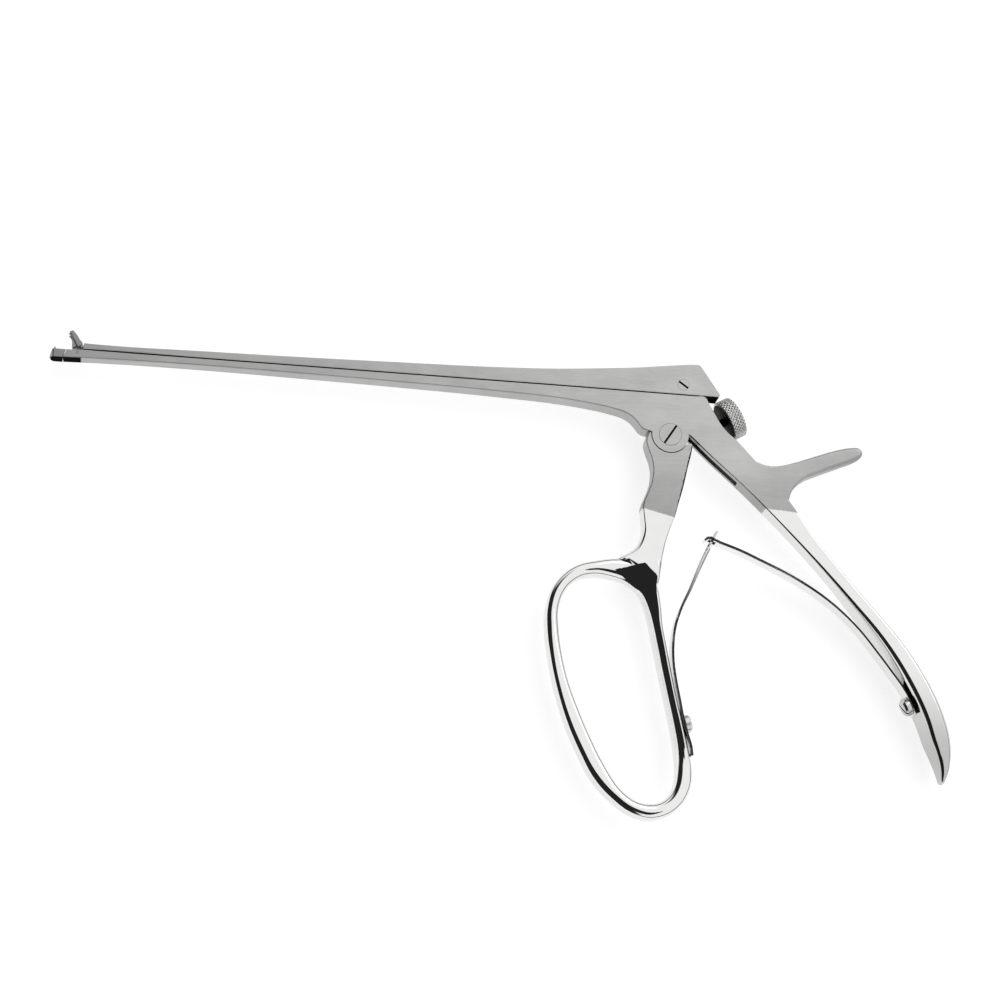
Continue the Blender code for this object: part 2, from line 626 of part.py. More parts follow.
# Finger lever: neck, closed ring and the tongue that reaches the link screw
neck = strip("finger_lever", [
    (-7.1, 0.3, 7.4, -2.8, BODY_T, EDGE_R),
    (-7.9, -2.6, 7.2, -5.0, BODY_T, EDGE_R),
    (-7.2, -5.4, 6.7, -7.6, BODY_T, EDGE_R),
    (-6.0, -8.6, 6.0, -10.6, BODY_T, EDGE_R),
    (-5.4, -12.1, 5.3, -14.2, BODY_T, EDGE_R),
    (-5.8, -16.3, 4.4, -18.4, BODY_T, EDGE_R),
    (-7.2, -20.4, 3.2, -23.0, BODY_T, 0.7),
    (-8.6, -24.3, 2.1, -27.5, BODY_T, 0.9),
    (-8.4, -28.4, 0.8, -31.6, BODY_T, 1.3),
    (-8.2, -32.6, -0.4, -36.2, BODY_T, 1.8),
    (-9.3, -36.6, -1.3, -41.4, 7.1, 2.1),
    (-11.3, -39.4, -1.9, -46.4, 7.2, 2.2),
    (-14.6, -41.5, -2.4, -49.5, 7.0, 2.2),
    (-19.0, -43.3, -4.6, -53.4, 5.0, 2.2),
], 4)
ring_edges = [
    (-1.7, -56.5, -7.3, -57.2), (-1.0, -63.5, -5.3, -63.6), (0.5, -71.0, -3.6, -71.2),
    (2.1, -79.0, -1.8, -79.2), (3.9, -87.2, 0.2, -87.6), (*FRONT_SEAT, 2.1, -95.8),
    (7.8, -102.5, 3.5, -103.6), (9.3, -109.5, 4.05, -110.0), (9.0, -115.0, 3.5, -114.6),
    (6.6, -120.4, 1.8, -118.2), (2.2, -124.4, -0.9, -120.4), (-3.7, -126.2, -4.0, -121.1),
    (-10.2, -124.8, -8.2, -120.5), (-17.1, -120.1, -13.5, -116.8), (-22.8, -114.0, -18.8, -109.2),
    (-27.0, -106.6, -23.2, -101.0), (-30.8, -98.6, -26.9, -93.0), (-34.2, -89.0, -30.5, -84.0),
    (-37.0, -78.0, -33.1, -74.0), (-38.6, -68.0, -34.2, -66.5), (-38.7, -60.4, -34.5, -60.7),
    (-36.9, -53.4, -33.2, -55.6), (-33.4, -48.6, -31.0, -52.2), (-28.5, -45.2, -27.2, -49.5),
    (-22.5, -43.5, -22.7, -48.6), (-16.5, -42.6, -18.0, -49.0), (-9.0, -44.2, -13.2, -50.3),
    (-3.4, -49.6, -9.4, -53.2)]
ring = strip("ring", [(*edge, RING_T, RING_R) for edge in ring_edges], 4, True,
             lambda x, y: WEB_TAPER * max(0.0, 1.0 - math.hypot(x - WEB[0], y - WEB[1]) / WEB_REACH))
combine(neck, ring, "UNION")
for side in (-1, 1):
    recess = rod("recess_near" if side > 0 else "recess_far", (0, 0, side * TONGUE_T / 2),
                 (0, 0, side * 9), RECESS_R, 64, True)
    combine(neck, recess, "DIFFERENCE")
tongue = plate("tongue", [(-5.3, -9.0), (-5.3, -1.0), (-4.4, 3.0), (-0.6, 9.0), (0.6, 14.0)]
               + arc((LINK_X, LINK_Y), 3.3, 170, 5, 12)
               + [(7.3, 14.0), (6.9, 9.0), (6.3, 3.0), (5.7, -2.0), (4.6, -9.0)],
               -TONGUE_T / 2, TONGUE_T / 2)
combine(neck, tongue, "UNION")
lever_bore = rod("lever_bore", (0, 0, -9), (0, 0, 9), PIVOT_SHANK_R + RUN_GAP, 48, True)
combine(neck, lever_bore, "DIFFERENCE")
link_dir = math.pi / 2 - LINK_LEAN
link_high = math.hypot(LINK_X, LINK_Y) + 0.1
link_low = LINK_Y / math.cos(LINK_LEAN - LEVER_SWING) - 0.1
link_outline = []
for distance, start in ((link_high, -90), (link_low, 90)):
    centre = (distance * math.cos(link_dir), distance * math.sin(link_dir))
    link_outline += arc(centre, LINK_R + RUN_GAP, start + math.degrees(link_dir),
                        start + 180 + math.degrees(link_dir), 14)
link_way = plate("link_way", link_outline, -9, 9, helper=True)
combine(neck, link_way, "DIFFERENCE")
front_tap = rod("front_tap", along(front_seat, front_out, -2.4), along(front_seat, front_out, 8.0),
                SPRING_SCREW_R + RUN_GAP, 24, True)
combine(neck, front_tap, "DIFFERENCE")
finish(neck, satin)

pivot_screw = rod("pivot_screw", (0, 0, -BODY_T / 2 + 0.05), (0, 0, BODY_T / 2 - 0.5),
                  PIVOT_SHANK_R, 48)
pivot_head = rod("pivot_head", (0, 0, BODY_T / 2 - 0.7), (0, 0, BODY_T / 2 + 0.05), PIVOT_HEAD_R, 64)
combine(pivot_screw, pivot_head, "UNION")
combine(pivot_screw, driver_slot("pivot_slot", 12.0, 58.0, (0, 0), BODY_T / 2 + 0.05), "DIFFERENCE")
finish(pivot_screw, satin)

# Knurled stop screw behind the head
stop_screw = turned("stop_screw", [
    (-STOP_REACH, 0.0), (-STOP_REACH, STOP_SHANK_R - 0.4), (-STOP_REACH + 0.4, STOP_SHANK_R),
    (-KNOB_T / 2, STOP_SHANK_R), (-KNOB_T / 2, KNOB_R - 0.5), (-KNOB_T / 2 + 0.3, KNOB_R),
    (KNOB_T / 2 - 0.5, KNOB_R), (KNOB_T / 2, KNOB_R - 0.7), (KNOB_T / 2, 0.0)],
    (STOP_CENTRE[0], STOP_CENTRE[1], 0), (stop_axis[0], stop_axis[1], 0), 72)
finish(stop_screw, knurled, (STOP_CENTRE[0], STOP_CENTRE[1], 0))


# Leaf springs
def leaf(name, path, widths):
    """A leaf spring from its path; widths run from the free end to the screwed end."""
    fine = smooth_path(path, 3)
    stations = []
    for i, here in enumerate(fine):
        before = Vector(fine[max(i - 1, 0)])
        after = Vector(fine[min(i + 1, len(fine) - 1)])
        run = (after - before).normalized()
        share = i / (len(fine) - 1)
        wide = widths[0] + (widths[1] - widths[0]) * share
        stations.append((here[0] - run[1] * LEAF_T / 2, here[1] + run[0] * LEAF_T / 2,
                         here[0] + run[1] * LEAF_T / 2, here[1] - run[0] * LEAF_T / 2, wide, 0.15))
    return strip(name, stations, 1)


def on_leaf(seat, out, shift):
    """A point of the leaf's path beside its screw, the shift being towards its free end."""
    lengthwise = (-out[1], out[0])
    if lengthwise[1] < 0:
        lengthwise = (out[1], -out[0])
    return (seat[0] + out[0] * LEAF_OFF + lengthwise[0] * shift,
            seat[1] + out[1] * LEAF_OFF + lengthwise[1] * shift)


rear_path = [(12.2, -34.4), (12.9, -33.6), (17.2, -34.9), (23.8, -37.1), (30.4, -39.9),
             (40.3, -44.3), (50.2, -50.0), (56.8, -55.0), (63.2, -61.2), (68.6, -67.8),
             (72.8, -73.2), on_leaf(rear_seat, rear_out, LAND), on_leaf(rear_seat, rear_out, 0.0),
             on_leaf(rear_seat, rear_out, -LAND)]
rear_leaf = leaf("rear_leaf_spring", rear_path, (LEAF_TIP_W, LEAF_ROOT_W))
front_path = [(16.4, -30.8), (14.6, -34.4), (10.9, -42.7), (7.8, -50.6), (5.0, -57.0),
              (3.2, -62.5), (2.4, -68.5), (2.5, -75.0), (3.5, -81.6), (4.9, -88.2),
              on_leaf(front_seat, front_out, LAND), on_leaf(front_seat, front_out, 0.0),
              along(on_leaf(front_seat, front_out, -LAND), front_out, 0.1)[:2],
              along(ring_edges[6], front_out, LEAF_OFF + 0.3)[:2],
              on_leaf(front_seat, front_out, -LEAF_TAIL)]
front_leaf = leaf("front_leaf_spring", front_path, (LEAF_TIP_W, LEAF_ROOT_W))
for side in (-1, 1):
    shoulder = block("shoulder_near" if side > 0 else "shoulder_far",
                     (8.0, -35.6, min(side * LEAF_TONGUE_W / 2, side * 6)),
                     (22.0, -26.0, max(side * LEAF_TONGUE_W / 2, side * 6)))
    combine(front_leaf, shoulder, "DIFFERENCE")
leaf_window = block("leaf_window", (13.6, -40.0, -LEAF_TONGUE_W / 2 - 0.35),
                    (15.9, -28.0, LEAF_TONGUE_W / 2 + 0.35))
combine(rear_leaf, leaf_window, "DIFFERENCE")
for made, seat, out in ((rear_leaf, rear_seat, rear_out), (front_leaf, front_seat, front_out)):
    clear_hole = rod(made.name + "_hole", along(seat, out, -3), along(seat, out, 4),
                     SPRING_SCREW_R + 0.15, 24, True)
    combine(made, clear_hole, "DIFFERENCE")
finish(rear_leaf, spring_steel, (rear_seat[0], rear_seat[1], 0))
finish(front_leaf, spring_steel, (front_seat[0], front_seat[1], 0))


def spring_screw(name, seat, out, depth, slot_turn):
    """A slotted cheese-head screw that holds a leaf spring down."""
    under = LEAF_OFF + LEAF_T / 2 + 0.1
    made = turned(name, [
        (-depth, 0.0), (-depth, SPRING_SCREW_R - 0.25), (-depth + 0.25, SPRING_SCREW_R),
        (under, SPRING_SCREW_R), (under, SPRING_HEAD_R), (under + SPRING_HEAD_T * 0.6, SPRING_HEAD_R),
        (under + SPRING_HEAD_T * 0.9, SPRING_HEAD_R - 0.7), (under + SPRING_HEAD_T, 0.0)],
        (seat[0], seat[1], 0), (out[0], out[1], 0), 40)
    cutter = block(name + "_slot", (-5, -SLOT_W / 2, under + SPRING_HEAD_T - 0.9),
                   (5, SLOT_W / 2, under + SPRING_HEAD_T + 1))
    turn = Vector((out[0], out[1], 0)).to_track_quat("Z", "Y").to_matrix().to_4x4()
    cutter.data.transform(Matrix.Translation((seat[0] * MM, seat[1] * MM, 0)) @ turn
                          @ Matrix.Rotation(math.radians(slot_turn), 4, "Z"))
    combine(made, cutter, "DIFFERENCE")
    finish(made, pin_steel, (seat[0], seat[1], 0))


spring_screw("rear_spring_screw", rear_seat, rear_out, 4.4, 35.0)
spring_screw("front_spring_screw", front_seat, front_out, 2.0, 80.0)


# The part's origin is the middle of its footprint, on the surface it lies on
def overall(pieces):
    corners = [piece.matrix_world @ vertex.co for piece in pieces for vertex in piece.data.vertices]
    low = [min(corner[i] for corner in corners) for i in range(3)]
    high = [max(corner[i] for corner in corners) for i in range(3)]
    return low, high


bpy.context.view_layer.update()
low_corner, high_corner = overall(PARTS.objects)
footprint = Vector(((low_corner[0] + high_corner[0]) / 2, (low_corner[1] + high_corner[1]) / 2,
                    low_corner[2]))
for piece in PARTS.objects:
    piece.location -= footprint
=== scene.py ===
# A punch forceps lying on its side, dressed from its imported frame.
# The row frame is in metres. Places are in millimetres from the lever's pivot, and at() makes them metres.
import math

import bmesh
import bpy
from mathutils import Matrix, Vector


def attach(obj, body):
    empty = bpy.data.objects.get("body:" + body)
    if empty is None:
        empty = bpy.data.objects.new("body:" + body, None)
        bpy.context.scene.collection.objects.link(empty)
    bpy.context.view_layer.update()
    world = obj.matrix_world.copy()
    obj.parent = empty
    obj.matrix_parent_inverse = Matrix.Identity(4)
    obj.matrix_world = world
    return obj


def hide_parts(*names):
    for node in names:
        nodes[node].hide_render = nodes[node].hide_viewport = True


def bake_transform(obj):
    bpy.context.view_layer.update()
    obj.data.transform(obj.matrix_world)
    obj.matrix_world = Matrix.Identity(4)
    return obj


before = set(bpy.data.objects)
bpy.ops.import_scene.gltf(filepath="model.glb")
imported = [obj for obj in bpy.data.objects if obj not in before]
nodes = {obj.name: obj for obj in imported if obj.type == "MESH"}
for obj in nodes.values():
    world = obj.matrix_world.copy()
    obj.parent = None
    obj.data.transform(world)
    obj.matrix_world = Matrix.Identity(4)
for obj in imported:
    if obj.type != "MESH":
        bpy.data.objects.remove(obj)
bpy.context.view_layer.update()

MM = 0.001
PIVOT = Vector((0.05395, 0.0507166, 0.00703))


def at(x, y, z=0.0):
    """A point of the forceps, in millimetres from the pivot, as metres in the row frame."""
    return PIVOT + Vector((x, y, z)) * MM


def spot_of(obj, vertex):
    """A vertex's place in millimetres from the pivot."""
    return (obj.matrix_world @ vertex.co - PIVOT) / MM


def link(name, data):
    obj = bpy.data.objects.new(name, data)
    bpy.context.scene.collection.objects.link(obj)
    return obj


# Camera, looking down from below the forceps and slightly from its left
LENS = 101.25
SENSOR = 36.0
NEAR_CLIP = 0.01
CAMERA_DISTANCE = 0.9
CAMERA_TARGET = at(-54.34, -25.32)
CAMERA_ROLL = math.radians(0.24)
TO_CAMERA = Vector((-0.1155, -0.2920, 0.9494)).normalized()
CAMERA_RIGHT = Vector((0.99036, 0.03964, 0.13270))


def place_camera():
    data = bpy.data.cameras.new("camera")
    data.lens = LENS
    data.sensor_width = SENSOR
    data.clip_start = NEAR_CLIP
    camera = link("camera", data)
    right = (CAMERA_RIGHT - TO_CAMERA * CAMERA_RIGHT.dot(TO_CAMERA)).normalized()
    right = (right - TO_CAMERA.cross(right) * math.tan(CAMERA_ROLL)).normalized()
    up = TO_CAMERA.cross(right)
    turn = Matrix((right, up, TO_CAMERA)).transposed().to_4x4()
    camera.matrix_world = Matrix.Translation(CAMERA_TARGET + TO_CAMERA * CAMERA_DISTANCE) @ turn
    bpy.context.scene.camera = camera
    bpy.context.scene.view_settings.view_transform = "Standard"


place_camera()


class Tree:
    """A short way to write a material's nodes."""

    def __init__(self, owner):
        owner.use_nodes = True
        self.nodes = owner.node_tree.nodes
        self.links = owner.node_tree.links
        self.nodes.clear()

    def add(self, kind, settings=None, **inputs):
        node = self.nodes.new(kind)
        for key, value in (settings or {}).items():
            setattr(node, key, value)
        for key, value in inputs.items():
            self.put(node, key.replace("_", " "), value)
        return node

    def put(self, node, key, value):
        """Links or sets an input, given by its name or by its number as text."""
        socket = node.inputs[int(key)] if key.isdigit() else node.inputs[key]
        if isinstance(value, bpy.types.NodeSocket):
            self.links.new(value, socket)
        else:
            socket.default_value = value

    def math(self, operation, a, b=0.0):
        node = self.nodes.new("ShaderNodeMath")
        node.operation = operation
        self.put(node, "0", a)
        self.put(node, "1", b)
        return node.outputs[0]

    def dot(self, a, b):
        node = self.add("ShaderNodeVectorMath", {"operation": "DOT_PRODUCT"})
        self.put(node, "0", a)
        self.put(node, "1", tuple(b))
        return node.outputs["Value"]

    def axis(self, vector, name):
        """One coordinate of a vector."""
        node = self.add("ShaderNodeSeparateXYZ")
        self.put(node, "Vector", vector)
        return node.outputs[name]

    def ramp(self, value, low, high, to_low=0.0, to_high=1.0, smooth=False):
        node = self.nodes.new("ShaderNodeMapRange")
        node.interpolation_type = "SMOOTHSTEP" if smooth else "LINEAR"
        for key, given in (("Value", value), ("From Min", low), ("From Max", high),
                           ("To Min", to_low), ("To Max", to_high)):
            self.put(node, key, given)
        return node.outputs["Result"]

    def blend(self, factor, a, b):
        """A mix of two numbers."""
        node = self.add("ShaderNodeMix", {"data_type": "FLOAT"})
        self.put(node, "0", factor)
        self.put(node, "2", a)
        self.put(node, "3", b)
        return node.outputs[0]

    def blend_ways(self, factor, a, b):
        """A mix of two vectors."""
        node = self.add("ShaderNodeMix", {"data_type": "VECTOR"})
        self.put(node, "0", factor)
        self.put(node, "4", a)
        self.put(node, "5", b)
        return node.outputs[1]

    def noise(self, where, scale, detail=4.0, rough=0.55, stretch=(1, 1, 1), turn=0.0):
        mapping = self.add("ShaderNodeMapping")
        self.put(mapping, "Vector", where)
        self.put(mapping, "Rotation", (0, 0, math.radians(turn)))
        self.put(mapping, "Scale", stretch)
        node = self.add("ShaderNodeTexNoise", None, Scale=scale, Detail=detail, Roughness=rough)
        self.put(node, "Vector", mapping.outputs[0])
        return node.outputs[0]


def grey(level):
    return (level, level, level, 1.0)


# Steel. Grain is given as noise scales along X, Y and Z, and MIDDLE is where most of a noise lies.
STREAKS = (120, 5200, 2600)
FINE_STREAKS = (500, 16000, 9000)
SCRATCHES = (900, 7000, 4000)
SCRATCH_TURN = 24.0
SCRATCH_RARE = (0.68, 0.74)
CLOUD_SCALE = 55.0
CLOUD_STRETCH = (1, 2.2, 1)
SMUDGE_SCALE = 210.0
MIDDLE = (0.3, 0.7)
BRUSH_DEPTH = 0.00004
SATIN_RELIEF = 0.10
MIRROR_RELIEF = 0.004
STEEL_TINT = (("Red", 1.0), ("Green", 0.998), ("Blue", 0.99))
LINE_GRAIN = 900.0
LINE_UNEVEN = 0.0006
LINE_SOFT = 0.00012


def beyond_line(tree, where, a, b, soft=LINE_SOFT):
    """0 on the left of the line from a to b, 1 on its right, with a slightly uneven edge."""
    start = at(*a)
    along = (at(*b) - start).normalized()
    across = Vector((along.y, -along.x, 0))
    wobble = tree.math("MULTIPLY", tree.noise(where, LINE_GRAIN, 2.0), LINE_UNEVEN)
    side = tree.math("SUBTRACT", tree.dot(where, across), across.dot(start) + LINE_UNEVEN / 2)
    return tree.ramp(tree.math("ADD", side, wobble), -soft, soft)


def satin_finish(tree, where, grain, smudge, level, rough):
    """Level and roughness of brushed steel."""
    streaks, fine = grain
    cloud = tree.noise(where, CLOUD_SCALE, 4.0, 0.55, CLOUD_STRETCH)
    tone = tree.math("ADD", tree.ramp(streaks, *MIDDLE, 0.90, 1.08), tree.ramp(cloud, *MIDDLE, -0.07, 0.07))
    tone = tree.math("ADD", tone, tree.ramp(fine, *MIDDLE, -0.05, 0.05))
    roughness = tree.math("ADD", tree.ramp(streaks, *MIDDLE, rough - 0.05, rough + 0.05),
                          tree.ramp(smudge, 0.35, 0.7, -0.03, 0.04))
    return tree.math("MULTIPLY", tone, level), roughness


def mirror_finish(tree, where, smudge, level, rough):
    """Level and roughness of polished steel, with faint smudges and hair scratches."""
    scratch = tree.ramp(tree.noise(where, 1.0, 2.0, 0.5, SCRATCHES, SCRATCH_TURN), *SCRATCH_RARE)
    roughness = tree.math("ADD", tree.ramp(smudge, 0.45, 0.8, rough, rough + 0.03),
                          tree.math("MULTIPLY", scratch, 0.05))
    return tree.ramp(smudge, 0.3, 0.75, level, level * 0.97), roughness


class Look:
    """What the changes of a steel may alter."""

    def __init__(self, where, share, level, roughness, normal):
        self.where = where
        self.share = share
        self.level = level
        self.roughness = roughness
        self.normal = normal
        self.metal = 1.0


def steel(name, satin=0.45, satin_rough=0.34, shine=0.80, shine_rough=0.05, polish=0.0,
          brush_turn=0.0, brush=1.0, changes=()):
    """Stainless steel, satin where polish is 0 and mirror bright where it is 1.

    Where polish is the two ends of a line, the steel is satin on the line's left and bright on its right.
    """
    made = bpy.data.materials.new(name)
    tree = Tree(made)
    where = tree.add("ShaderNodeTexCoord").outputs["Object"]
    streaks = tree.noise(where, 1.0, 5.0, 0.6, STREAKS, brush_turn)
    fine = tree.noise(where, 1.0, 3.0, 0.6, FINE_STREAKS, brush_turn)
    smudge = tree.noise(where, SMUDGE_SCALE, 5.0, 0.6)
    satin_level, satin_roughness = satin_finish(tree, where, (streaks, fine), smudge, satin, satin_rough)
    shine_level, shine_roughness = mirror_finish(tree, where, smudge, shine, shine_rough)
    share = beyond_line(tree, where, *polish) if isinstance(polish, tuple) else polish
    bump = tree.add("ShaderNodeBump", None, Distance=BRUSH_DEPTH)
    tree.put(bump, "Strength", tree.blend(share, SATIN_RELIEF * brush, MIRROR_RELIEF))
    tree.put(bump, "Height", tree.blend(0.5, streaks, fine))
    look = Look(where, share, tree.blend(share, satin_level, shine_level),
                tree.blend(share, satin_roughness, shine_roughness), bump.outputs[0])
    for change in changes:
        change(tree, look)

    colour = tree.add("ShaderNodeCombineColor")
    for channel, factor in STEEL_TINT:
        tree.put(colour, channel, tree.math("MULTIPLY", look.level, factor))
    shader = tree.add("ShaderNodeBsdfPrincipled")
    tree.put(shader, "Metallic", look.metal)
    tree.put(shader, "Specular IOR Level", tree.math("MULTIPLY", look.metal, 0.5))
    tree.put(shader, "Base Color", colour.outputs[0])
    tree.put(shader, "Roughness", look.roughness)
    tree.put(shader, "Normal", look.normal)
    output = tree.add("ShaderNodeOutputMaterial")
    tree.put(output, "Surface", shader.outputs[0])
    return made


# Changes that a steel can take. Each makes a function of a tree and its look.
WORN = (0.53, 0.60)
CUT_FACING = (0.45, 0.7)
CUT_PAINTED_SHADE_LEVEL = 0.03
RIM_SOFT = 0.00005
RIM_PAINTED_SHADE_LEVEL = 0.015
UNDER_FACING = (-0.5, -0.8)
PAINTED_SHADE_LEVEL = 0.02
SLOT_SOFT = 0.00006
SLOT_ROUGH = 0.7


def worn_edges(lift):
    """Edges are rubbed bright."""
    def change(tree, look):
        worn = tree.ramp(tree.add("ShaderNodeNewGeometry").outputs["Pointiness"], *WORN)
        look.level = tree.math("ADD", look.level, tree.math("MULTIPLY", worn, lift))
    return change


def painted_shade_along(start, end, least):
    """Painted shade: the satin part grows darker from start to end."""
    def change(tree, look):
        run = at(*end) - at(*start)
        along = run.normalized()
        first = at(*start).dot(along)
        shade = tree.ramp(tree.dot(look.where, along), first, first + run.length, 1.0, least, True)
        look.level = tree.math("MULTIPLY", look.level, tree.blend(look.share, shade, 1.0))
    return change


def painted_shade_below(high, low, least):
    """Painted shade: everything grows darker from one height on the picture down to another."""
    def change(tree, look):
        shade = tree.ramp(tree.axis(look.where, "Y"), at(0, high).y, at(0, low).y, 1.0, least, True)
        look.level = tree.math("MULTIPLY", look.level, shade)
    return change


def painted_shade_cut_edges(start, end):
    """Painted shade: a strip's cut edges grow dark from one height to another."""
    def change(tree, look):
        facing = tree.axis(tree.add("ShaderNodeTexCoord").outputs["Normal"], "Z")
        height = tree.ramp(tree.axis(look.where, "Y"), at(0, start).y, at(0, end).y, 0.0, 1.0, True)
        cut = tree.math("MULTIPLY", tree.ramp(tree.math("ABSOLUTE", facing), *CUT_FACING), height)
        look.level = tree.blend(cut, look.level, CUT_PAINTED_SHADE_LEVEL)
    return change


def painted_shade_rim(a, b):
    """Painted shade: the satin part is dark beyond the line from a to b."""
    def change(tree, look):
        rim = tree.math("MULTIPLY", beyond_line(tree, look.where, a, b, RIM_SOFT),
                        tree.math("SUBTRACT", 1.0, look.share))
        look.level = tree.blend(rim, look.level, RIM_PAINTED_SHADE_LEVEL)
    return change


def painted_shade_underside(before=None):
    """Painted shade: the underside is black, all along or only where X is below the first of two values."""
    def change(tree, look):
        facing = tree.axis(tree.add("ShaderNodeNewGeometry").outputs["True Normal"], "Y")
        under = tree.ramp(facing, *UNDER_FACING)
        if before:
            near = tree.ramp(tree.axis(look.where, "X"), at(before[0], 0).x, at(before[1], 0).x)
            under = tree.math("MULTIPLY", under, near)
        look.level = tree.blend(under, look.level, PAINTED_SHADE_LEVEL)
        look.metal = tree.math("SUBTRACT", 1.0, under)
    return change


def painted_shade_slot(height):
    """Painted shade: a screw's slot is dark below the head's face."""
    def change(tree, look):
        top = at(0, 0, height).z
        inside = tree.ramp(tree.axis(look.where, "Z"), top - SLOT_SOFT, top, 1.0, 0.0)
        look.level = tree.blend(inside, look.level, PAINTED_SHADE_LEVEL)
        look.roughness = tree.blend(inside, look.roughness, SLOT_ROUGH)
    return change


def facing_way(lines, way):
    """Where all the lines have a point on their right, the surface faces one way."""
    def change(tree, look):
        inside = 1.0
        for a, b in lines:
            inside = tree.math("MULTIPLY", inside, beyond_line(tree, look.where, a, b))
        look.normal = tree.blend_ways(inside, look.normal, way)
    return change


# Shading normals of the facets
MERGE_DIGITS = 6
SHARP = math.cos(math.radians(32))
FLAT = 0.9995
SEAM_Y = 13.8
SEAM_MIDDLE = SEAM_Y + 0.15
SEAM_ZONE = 1.0
SEAM_FACING = 0.35
SEAM_EDGE = 0.95
SEAM_CLOSE = 0.17
LEG_LEFT = (-11.0, -7.0)
LEG_LOW = (-112.0, -98.0)
LEG_HIGH = (-44.0, -50.0)
LEG_ROUND = (0.22, 0.5)
LEG_LEAN = (-0.18, -0.15)
UPRIGHT = 0.02


def ramped(value, low, high):
    """0 at low and 1 at high, with soft ends."""
    t = max(0.0, min(1.0, (value - low) / (high - low)))
    return t * t * (3 - 2 * t)


def tilt_of(normal):
    """0 where the normal is along Z, 1 where it is level."""
    return math.acos(min(1.0, abs(normal.z))) / (math.pi / 2)


def tightened(normal, share):
    """The normal with its tilt pushed towards flat or upright, so that a rounding looks smaller."""
    flat = Vector((normal.x, normal.y, 0))
    if share <= 0.0 or flat.length < 1e-6:
        return normal
    tilt = ramped(tilt_of(normal), 0.5 * share, 1 - 0.5 * share) * math.pi / 2
    up = math.copysign(math.cos(tilt), normal.z)
    return (flat.normalized() * math.sin(tilt) + Vector((0, 0, up))).normalized()


def leaning(normal, spot):
    """On the ring's rear leg the near face leans towards the fingers, and its inner rounding is small."""
    amount = ramped(spot.x, *LEG_LEFT) * ramped(spot.y, *LEG_LOW) * ramped(spot.y, *LEG_HIGH)
    if amount <= 0.0 or abs(normal.z) < UPRIGHT:
        return normal
    share = ramped(tilt_of(normal), *LEG_ROUND)
    lean = Vector((*LEG_LEAN, math.copysign(1.0, normal.z))).normalized()
    side = Vector((normal.x, normal.y, 0)).normalized() if normal.x < 0 else normal
    return (normal * (1 - amount) + (lean * (1 - share) + side * share) * amount).normalized()


def upright(normal):
    return Vector((0, 0, math.copysign(1.0, normal.z)))


def shared_normal(face, around):
    """A corner's normal over the faces around it, apart from those beyond a sharp edge."""
    near = [(normal, area) for normal, area in around if normal.dot(face.normal) > SHARP]
    level = [normal for normal, area in near if abs(normal.z) > FLAT]
    if level:
        return upright(level[0])
    return sum((normal * area for normal, area in near), Vector()).normalized()


def even_normals(obj, tighten=None, seam=False, lean=False):
    """Shades the facets evenly, with flat faces kept flat and sharp edges kept sharp."""
    mesh = obj.data
    keys = [tuple(round(c, MERGE_DIGITS) for c in vertex.co) for vertex in mesh.vertices]
    around = {}
    for face in mesh.polygons:
        for index in face.vertices:
            around.setdefault(keys[index], []).append((face.normal, face.area))
    normals = [None] * len(mesh.loops)
    for face in mesh.polygons:
        for loop in face.loop_indices:
            index = mesh.loops[loop].vertex_index
            spot = spot_of(obj, mesh.vertices[index])
            normal = shared_normal(face, around[keys[index]])
            if tighten:
                normal = tightened(normal, tighten(spot))
            if lean:
                normal = leaning(normal, spot)
            if seam and abs(spot.y - SEAM_MIDDLE) < SEAM_ZONE and abs(face.normal.z) > SEAM_FACING:
                normal = upright(face.normal)
            normals[loop] = normal
    mesh.shade_smooth()
    mesh.normals_split_custom_set(normals)


def close_seam(obj):
    """Brings the slide's underside nearer to the fixed shaft, so that the joint is a thin line."""
    group = obj.vertex_groups.new(name="seam")
    below = [v.index for v in obj.data.vertices if spot_of(obj, v).y < SEAM_Y + SEAM_EDGE]
    group.add(below, 1.0, "REPLACE")
    move = obj.modifiers.new("seam", "DISPLACE")
    move.direction = "Y"
    move.mid_level = 0.0
    move.strength = -SEAM_CLOSE * MM
    move.vertex_group = group.name


def dress(node, material, tighten=None, seam=False, lean=False):
    mesh = nodes[node].data
    mesh.materials.clear()
    mesh.materials.append(material)
    even_normals(nodes[node], tighten, seam, lean)


# The CAD pieces. Lines run between two points, and what a line bounds lies on its right.
HALF_T = 3.5
PIVOT_SLOT = HALF_T - 0.1
LINK_SLOT = HALF_T - 0.12
PIVOT_BRUSH = 58.0
# Painted shade on the head, the lever and the handle's end.
HEAD_PAINTED_SHADE = ((24, -6), (36, -21), 0.84)
LEVER_PAINTED_SHADE = ((0, -4), (-2, -25), 0.8)
HANDLE_PAINTED_SHADE = (-72.0, -102.0, 0.62)
HANDLE_LINE = ((32.0, -22.7), (42.3, -23.4))
LEVER_LINE = ((-7.9, -25.7), (1.8, -27.9))
LEVER_REAR = ((1.95, -27.3), (7.2, -2.6))
TIP_END = (-190.0, -190.4)
WEB_LEFT = (-15.96, -46.34)
WEB_TOP = ((-8.90, -44.15), (-7.29, -43.86))
WEB_RIGHT = (-3.47, -47.70)
WEB = ((WEB_LEFT, WEB_TOP[0]), (WEB_TOP[1], WEB_RIGHT), ((-3.47, -45.0), (-3.30, -57.5)),
       ((-6.38, -54.52), (-17.24, -46.44)))
NECK_FOOT = ((WEB_TOP[0], WEB_LEFT), (WEB_RIGHT, WEB_TOP[1]), ((-14.78, -41.95), (-3.02, -46.35)),
             ((-14.01, -46.69), (-13.54, -40.03)))
TOWARDS_VIEWER = (0.0, 0.0, 1.0)
TOWARDS_DARK = (-0.4, 0.0, 0.9165)
FRAME_CRISP = 0.45
SLIDE_CRISP = 0.4
LEVER_CRISP = 0.5
NECK_CRISP = 0.6
NECK_TOP = -26
RING_TOP = -42.5
